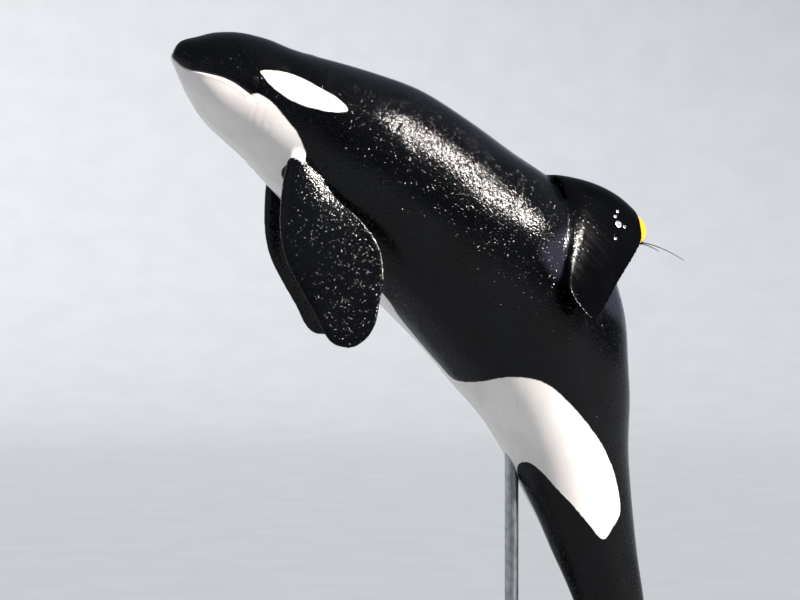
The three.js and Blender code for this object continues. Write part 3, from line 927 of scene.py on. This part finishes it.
# A wet eyeball: brown iris, black oval pupil and a dark rim, under a clear bulging front
def eye_wet():
    made, tree = material("eyeball_wet")
    reach = node(tree, "Attribute", [], "Fac", attribute_name="reach")
    place = node(tree, "TexCoord", [], "Object")
    fibres = grain(tree, place, (0.0035, 0.0035, 0.0035), detail=3)
    fibrous = node(tree, "MapRange", [fibres, 0.35, 0.65], **EASED)
    iris = node(tree, "Mix", [fibrous, linear("#150c07"), linear("#2c1b10")], **COLOUR)
    past_pupil = node(tree, "MapRange", [reach, 0.006, 0.0075], **EASED)
    inner = node(tree, "Mix", [past_pupil, linear("#020203"), iris], **COLOUR)
    past_iris = node(tree, "MapRange", [reach, 0.0145, 0.0165], **EASED)
    ringed = node(tree, "Mix", [past_iris, inner, linear("#0b0807")], **COLOUR)
    white = node(tree, "Mix", [fibrous, linear("#2c211f"), linear("#45393a")], **COLOUR)
    past_rim = node(tree, "MapRange", [reach, 0.0175, 0.02], **EASED)
    colour = node(tree, "Mix", [past_rim, ringed, white], **COLOUR)
    finish = {
        "Base Color": colour, "Roughness": 0.06, "IOR": 1.38, "Coat Weight": 0.6,
        "Coat Roughness": 0.03,
    }
    node(tree, "OutputMaterial", [node(tree, "BsdfPrincipled", finish)])
    return made


# Moulded yellow plastic: fine spark texture with scuffs, where the eye sees a duller, rougher yellow.
# The texture's grains are drawn 1.2 mm wide, coarser than real ones.
def tag_plastic():
    made, tree = material("moulded_yellow_plastic")
    place = node(tree, "TexCoord", [], "Object")
    scuffs = grain(tree, place, (0.03, 0.008, 0.02), detail=5, roughness=0.7)
    worn = node(tree, "MapRange", [scuffs, 0.55, 0.8, 0, 0.6], **EASED)
    colour = node(tree, "Mix", [worn, linear("#e0a413"), linear("#b98a2c")], **COLOUR)
    texture = grain(tree, place, (0.0012, 0.0012, 0.0012), detail=1)
    bump = node(tree, "Bump", {"Strength": 0.25, "Distance": 0.0004, "Height": texture})
    rough = node(tree, "MapRange", [scuffs, 0.4, 0.8, 0.34, 0.6], **EASED)
    finish = {"Base Color": colour, "Roughness": rough, "IOR": 1.46, "Normal": bump}
    node(tree, "OutputMaterial", [node(tree, "BsdfPrincipled", finish)])
    return made


# Stainless steel, turned or brushed: bright, with dull smears and tool marks of the given size, which
# is several times coarser than that of real ones
def steel(name, light, dark, marks):
    made, tree = material(name)
    place = node(tree, "TexCoord", [], "Object")
    smears = grain(tree, place, (0.04, 0.04, 0.06), detail=4)
    smeared = node(tree, "MapRange", [smears, 0.35, 0.7], **EASED)
    colour = node(tree, "Mix", [smeared, linear(light), linear(dark)], **COLOUR)
    brushed = grain(tree, place, marks, detail=2)
    rough = node(tree, "MapRange", [brushed, 0.3, 0.7, 0.22, 0.38], **EASED)
    bump = node(tree, "Bump", {"Strength": 0.12, "Distance": 0.0003, "Height": brushed})
    finish = {"Base Color": colour, "Metallic": 1.0, "Roughness": rough, "Normal": bump}
    node(tree, "OutputMaterial", [node(tree, "BsdfPrincipled", finish)])
    return made


# Whip aerial: spring wire in a dark rubbery sleeve, dull and faintly dusty
def aerial_sleeve():
    made, tree = material("aerial_rubber_sleeve")
    place = node(tree, "TexCoord", [], "Object")
    dust = grain(tree, place, (0.02, 0.02, 0.02), detail=4)
    dusty = node(tree, "MapRange", [dust, 0.4, 0.7], **EASED)
    colour = node(tree, "Mix", [dusty, linear("#1b1c1f"), linear("#2b2c30")], **COLOUR)
    bump = node(tree, "Bump", {"Strength": 0.2, "Distance": 0.0003, "Height": dust})
    finish = {"Base Color": colour, "Roughness": 0.45, "Normal": bump}
    node(tree, "OutputMaterial", [node(tree, "BsdfPrincipled", finish)])
    return made


# Powder-coated steel plate: an even satin grey with the coating's orange peel, drawn 4 mm wide to show
def base_paint():
    made, tree = material("powder_coat_grey")
    place = node(tree, "TexCoord", [], "Object")
    peel = grain(tree, place, (0.004, 0.004, 0.004), detail=2)
    dust = grain(tree, place, (0.35, 0.35, 0.35), detail=5, roughness=0.6)
    dusty = node(tree, "MapRange", [dust, 0.3, 0.75], **EASED)
    colour = node(tree, "Mix", [dusty, linear("#2b2d30"), linear("#383b3f")], **COLOUR)
    bump = node(tree, "Bump", {"Strength": 0.2, "Distance": 0.0005, "Height": peel})
    rough = node(tree, "MapRange", [dust, 0.3, 0.7, 0.42, 0.55], **EASED)
    finish = {"Base Color": colour, "Roughness": rough, "Normal": bump}
    node(tree, "OutputMaterial", [node(tree, "BsdfPrincipled", finish)])
    return made


# Studio floor and its rising edge: seamless matt vinyl, faintly mottled
def studio_vinyl():
    made, tree = material("studio_vinyl_matt")
    place = node(tree, "TexCoord", [], "Object")
    mottle = grain(tree, place, (1.2, 1.2, 1.2), detail=3)
    mottled = node(tree, "MapRange", [mottle, 0.3, 0.7], **EASED)
    colour = node(tree, "Mix", [mottled, linear("#959ba1"), linear("#989ea4")], **COLOUR)
    finish = {"Base Color": colour, "Roughness": 0.85}
    node(tree, "OutputMaterial", [node(tree, "BsdfPrincipled", finish)])
    return made


HIDE = wet_hide()
EYE = eye_wet()
YELLOW = tag_plastic()
BOLT_STEEL = steel("turned_stainless_steel", "#c9ccd0", "#a4a8ad", (0.0008, 0.0008, 0.0008))
ROD_STEEL = steel("brushed_steel_tube", "#a9adb2", "#8d9196", (0.0015, 0.0015, 0.2))
SLEEVE = aerial_sleeve()
GREY = base_paint()


def dress(thing, finish):
    thing.data.materials.clear()
    thing.data.materials.append(finish)
    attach(thing, "root")


# The skin takes the place of every node of flesh
def place_skin():
    skin = make_skin()
    dress(skin, HIDE)
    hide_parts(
        "head", "lower_jaw", "chest", "belly", "tail_stock", "dorsal_fin", "flipper_left",
        "flipper_right", "fluke_left", "fluke_right",
    )


# An eyeball with a clear bulge in front, set where the CAD's eye is
def eyeball(side):
    low, high = (np.array(corner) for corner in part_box(f"eye_{side}"))
    centre = (low + high) / 2
    outward = np.array([-0.12, -1.0 if side == "left" else 1.0, -0.04])
    outward = unit(to_world(outward))
    across = unit(np.cross([0, 0, 1.0], outward))
    up = np.cross(outward, across)
    polar = np.linspace(0.001, pi - 0.001, 64)[:, None]
    turn = circle(72)[None, :]
    bulge = 1 + 0.06 * ridge(polar, 0.55)
    radius = EYE_RADIUS * 0.96 * bulge + 0 * turn
    x = radius * np.sin(polar) * np.cos(turn)
    y = radius * np.sin(polar) * np.sin(turn)
    z = radius * np.cos(polar) + 0 * turn
    rings = centre + x[..., None] * across + y[..., None] * up + z[..., None] * outward
    mesh = mesh_of(f"eyeball_{side}", loft(rings))
    oval_reach = np.hypot(x * 0.8, y * 1.15)
    reach = oval_reach + (z < 0) * 0.05
    add_layer(mesh, "reach", reach.ravel())
    mesh.shade_smooth()
    ball = placed(f"eyeball_{side}", mesh)
    dress(ball, EYE)
    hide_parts(f"eye_{side}")


# A hard piece from closed shapes, with crisp edges where faces meet at more than 35 degrees
def hard_piece(name, shapes, finish, replaced):
    mesh = mesh_of(name, joined(shapes))
    grid = bmesh.new()
    grid.from_mesh(mesh)
    bmesh.ops.recalc_face_normals(grid, faces=grid.faces)
    grid.to_mesh(mesh)
    grid.free()
    mesh.shade_smooth()
    mesh.set_sharp_from_angle(angle=radians(35))
    thing = placed(name, mesh)
    dress(thing, finish)
    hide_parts(replaced)


# A turned shape from pairs of radius and height
def turned(outline, sides=64):
    angles = circle(sides)
    return loft(np.array([[(r * cos(a), r * sin(a), z) for a in angles] for r, z in outline]))


# A six-sided bolt head or nut, from half its width across flats, with its top corners turned down
def hexagon(flat, bottom, top):
    angles = circle(60)
    reach = flat / np.cos((angles % (pi / 3)) - pi / 6)
    widest, narrowing = 1.16, 0.18
    crown = (top - bottom) * 0.22
    share = np.concatenate([[0], np.linspace(0, 1, 7)])
    heights = top - (1 - share) * crown
    heights[0] = bottom
    ring = np.minimum(reach, flat * (widest - narrowing * share)[:, None])
    tall = heights[:, None] + 0 * ring
    return loft(np.stack([ring * np.cos(angles), ring * np.sin(angles), tall], -1))


# The threaded end of a bolt, with a pitch of about 0.3 of its radius
def thread(radius, bottom, top):
    count = max(int((top - bottom) / (radius * 0.3)), 2)
    pitch = (top - bottom) / count
    root = radius * 0.88
    outline = [(radius, bottom)]
    for z in bottom + pitch * np.arange(count):
        outline += [(radius, z + 0.25 * pitch), (root, z + 0.6 * pitch), (radius, z + 0.95 * pitch)]
    return turned(outline + [(radius * 0.7, top)], 36)


# Gives the function that sets a shape standing on z = 0 onto the fin's outer face
def onto_fin(x, height, lift):
    small = 0.001
    across = np.array([x, x, x + small])
    off = np.array([-lift, -lift - small, -lift])
    centre, above, beside = folded_fin(across, np.full(3, height), off)
    out = unit(above - centre)
    along = unit((beside - centre) - out * (beside - centre).dot(out))
    turn = np.stack([along, np.cross(out, along), out])
    return lambda points: to_world(centre + points @ turn)


# A washer, a nut and a bolt's end on the fin, for each of the tag's pins
def tag_bolts():
    for number, (x, height, radius) in enumerate(TAG_PINS, 1):
        place = onto_fin(x, height, PIN_LIFT)
        bore = radius * 0.3
        washer = turned([
            (bore, -0.008), (radius * 0.97, -0.008), (radius, -0.007), (radius, 0.0045),
            (radius - 0.0005, 0.0056), (radius - 0.0014, 0.006), (bore, 0.006),
        ])
        nut = hexagon(radius * 0.46, 0.0055, 0.0135)
        end = thread(radius * 0.26, 0.013, 0.0168)
        shapes = [(place(points), faces) for points, faces in (washer, nut, end)]
        hard_piece(f"tag_bolt_{number}", shapes, BOLT_STEEL, f"tag_pin_{number}")


# One section of the housing: a rounded oblong with a fine parting groove round its edge
def housing_section(height, inset):
    inner, outer = TAG_FACES[0] + inset, TAG_FACES[1] - inset
    front, rear = TAG_LEAD + inset, float(smooth(TAG_HOUSING, 1, height)) - inset
    corner = max(TAG_CORNER - inset, 0.001)
    middle = (TAG_FACES[0] + TAG_FACES[1]) / 2
    groove = [(0, -0.0012), (0.0016, -0.0006), (0.0016, 0.0006), (0, 0.0012)]
    route = [(rear - deep, middle + off) for deep, off in groove]
    corners = [
        (rear - corner, outer - corner), (front + corner, outer - corner),
        (front + corner, inner + corner), (rear - corner, inner + corner),
    ]
    face_shares = np.linspace(0, 1, 14)[1:-1]
    for quarter, (x, off) in enumerate(corners):
        turn = (quarter + np.linspace(0, 1, 7)) * pi / 2
        route += [(x + corner * cos(a), off + corner * sin(a)) for a in turn]
        if quarter == 0:
            route += [(x + (front + corner - x) * u, outer) for u in face_shares]
        if quarter == 1:
            route += [(front + deep, middle - off) for deep, off in groove]
        if quarter == 2:
            route += [(x + (rear - corner - x) * u, inner) for u in face_shares]
    route = np.array(route)
    return to_world(folded_fin(route[:, 0], np.full(len(route), height), route[:, 1]))


# The tag's housing, a slab that follows the fold of the fin
def tag_box():
    low, high = TAG_HOUSING[0][0], TAG_HOUSING[-1][0]
    straight = np.linspace(low + TAG_CORNER, high - TAG_CORNER, 40)[1:-1]
    rounding = [(TAG_CORNER * (1 - cos(a)), TAG_CORNER * (1 - sin(a))) for a in quarter_turn(8)]
    rows = [(low + rise, inset) for rise, inset in rounding]
    rows += [(height, 0) for height in straight]
    rows += [(high - rise, inset) for rise, inset in rounding[::-1]]
    shape = loft(np.array([housing_section(height, inset) for height, inset in rows]))
    hard_piece("tag_case", [shape], YELLOW, "tag_housing")


# A tapered whip that springs from a rubber boot and bows under its own weight
def tag_whips():
    for number, (length, lift) in enumerate(ANTENNAS, 1):
        rear = float(smooth(TAG_HOUSING, 1, WHIP_HEIGHT))
        start = to_world(folded_fin(np.array(rear - 0.004), np.array(WHIP_HEIGHT), np.array(lift)))
        share = np.linspace(0, 1, 70)[:, None]
        x = start[0] + length * WHIP_REACH * share
        z = start[2] - length * (WHIP_DIP * share + WHIP_SAG * share**2)
        slope = np.arctan2(-(WHIP_DIP + 2 * WHIP_SAG * share), WHIP_REACH)
        boot = 0.0045 * (1 - step(length * share, 0.018, 0.03))
        round_end = np.sqrt(np.clip((1.003 - share) * 60, 0, 1))
        radius = (0.0042 - 0.0022 * share + boot) * round_end
        beside = start[1] + radius * np.cos(circle(20))
        up = radius * np.sin(circle(20))
        rings = np.stack([x - up * np.sin(slope), beside, z + up * np.cos(slope)], -1)
        name = f"tag_whip_{number}"
        hard_piece(name, [loft(rings)], SLEEVE, f"tag_antenna_{number}")


# A plate with round corners and a rounded top edge, that stands clear of the floor all round its foot
def stand_plate():
    width, depth, height = BASE_SIZE
    bevel, foot, gap = 0.006, 0.018, 0.010
    levels = [(foot, 0), (foot, gap), (0.0015, gap), (0, gap + 0.0015)]
    levels += [(bevel * (1 - sin(a)), height - bevel * (1 - cos(a))) for a in quarter_turn(6)]
    turn = (circle(4)[:, None] + quarter_turn(25)).ravel()
    centre_x = (width / 2 - BASE_CORNER) * np.repeat([1, -1, -1, 1], 25)
    centre_y = (depth / 2 - BASE_CORNER) * np.repeat([1, 1, -1, -1], 25)
    rings = []
    for inset, z in levels:
        corner = BASE_CORNER - inset
        x = centre_x + corner * np.cos(turn)
        y = centre_y + corner * np.sin(turn)
        rings.append(np.stack([x, y, np.full(len(turn), z)], -1))
    hard_piece("stand_plate", [loft(np.array(rings))], GREY, "stand_base")


# A tube on a flange, with a small fillet where they meet
def tube_on_flange(floor, flange, top):
    fillet = 0.014
    rounding = []
    for a in quarter_turn(7):
        rounding.append((ROD_RADIUS + fillet * (1 - sin(a)), flange + fillet * (1 - cos(a))))
    outline = [
        (0.01, floor), (ROD_FOOT_RADIUS - 0.001, floor), (ROD_FOOT_RADIUS, floor + 0.001),
        (ROD_FOOT_RADIUS, flange - 0.004), (ROD_FOOT_RADIUS - 0.0012, flange - 0.0012),
        (ROD_FOOT_RADIUS - 0.004, flange),
    ]
    return turned(outline + rounding + [(ROD_RADIUS, top), (0.01, top)], 96)


# A bolt's washer and head on the flange
def flange_bolt(flange):
    washer = [(0.004, flange), (0.017, flange), (0.0175, flange + 0.0015), (0.004, flange + 0.0025)]
    return [turned(washer, 40), hexagon(0.012, flange + 0.002, flange + 0.0125)]


# Steel tubes on flanges with four bolts each, up into the belly and the tail stock
def stand_tubes():
    floor = BASE_SIZE[2]
    flange = floor + ROD_FOOT_HEIGHT
    for name, station in ROD_STATIONS.items():
        x, _, top = spine(station)
        shapes = [tube_on_flange(floor, flange, top)]
        for angle in circle(4) + pi / 4:
            spot = FLANGE_BOLT_CIRCLE * np.array([cos(angle), sin(angle), 0])
            shapes += [(points + spot, faces) for points, faces in flange_bolt(flange)]
        shapes = [(to_world(points + [x, 0, 0]), faces) for points, faces in shapes]
        hard_piece(f"stand_tube_{name}", shapes, ROD_STEEL, f"stand_rod_{name}")


# Stage: a floor that rises to a wall far beyond every viewpoint
def stage_floor():
    flat_radius, rise_radius, wall_top = 50.0, 28.0, 28.5
    profile = [(r, 0.0) for r in np.linspace(0.02, flat_radius, 30)]
    for a in quarter_turn(24)[1:]:
        profile.append((flat_radius + rise_radius * sin(a), rise_radius * (1 - cos(a))))
    profile.append((flat_radius + rise_radius, wall_top))
    points, faces = turned(profile, 128)
    mesh = mesh_of("studio_floor", (points, faces[:-1]))
    mesh.shade_smooth()
    floor = placed("studio_floor", mesh)
    floor.data.materials.append(studio_vinyl())


# A far lamp: the way towards it, its strength, and how wide it looks in degrees
def lamp(name, towards, strength, spread, colour):
    light = bpy.data.lights.new(name, "SUN")
    light.energy = strength
    light.angle = radians(spread)
    light.color = linear(colour)[:3]
    placed(name, light).rotation_euler = Vector(towards).to_track_quat("Z", "Y").to_euler()


# Three key lamps in a strip, which gives the long band of glints on the flank, and a weak front lamp
def studio_light():
    strip = [(0.60, -0.45, 0.66), (0.71, -0.43, 0.56), (0.80, -0.43, 0.42)]
    for number, towards in enumerate(strip, 1):
        lamp(f"key_lamp_{number}", towards, 3.0, 3.5, "#fff8f1")
    lamp("front_lamp", (-0.45, -0.8, 0.35), 0.1, 40, "#dfe9ff")
    world = bpy.data.worlds.new("studio_air")
    world.use_nodes = True
    air = world.node_tree.nodes["Background"]
    air.inputs["Color"].default_value = linear("#cfdff2")
    air.inputs["Strength"].default_value = 0.3
    bpy.context.scene.world = world


# The camera stands level, in front of the animal's left side, and sees the photo's frame
def set_camera():
    lens = bpy.data.cameras.new("camera")
    lens.lens = 105
    lens.sensor_width = 36
    pixels_up, frame_width = 17, 800
    lens.shift_y = pixels_up / frame_width
    lens.clip_end = 500
    camera = placed("camera", lens)
    camera.location = (-0.43, -16.7, 3.7)
    camera.rotation_euler = (pi / 2, 0, 0)
    bpy.context.scene.camera = camera


place_skin()
eyeball("left")
eyeball("right")
tag_bolts()
tag_box()
tag_whips()
stand_plate()
stand_tubes()
stage_floor()
studio_light()
set_camera()
bpy.context.scene.view_settings.view_transform = "Standard"
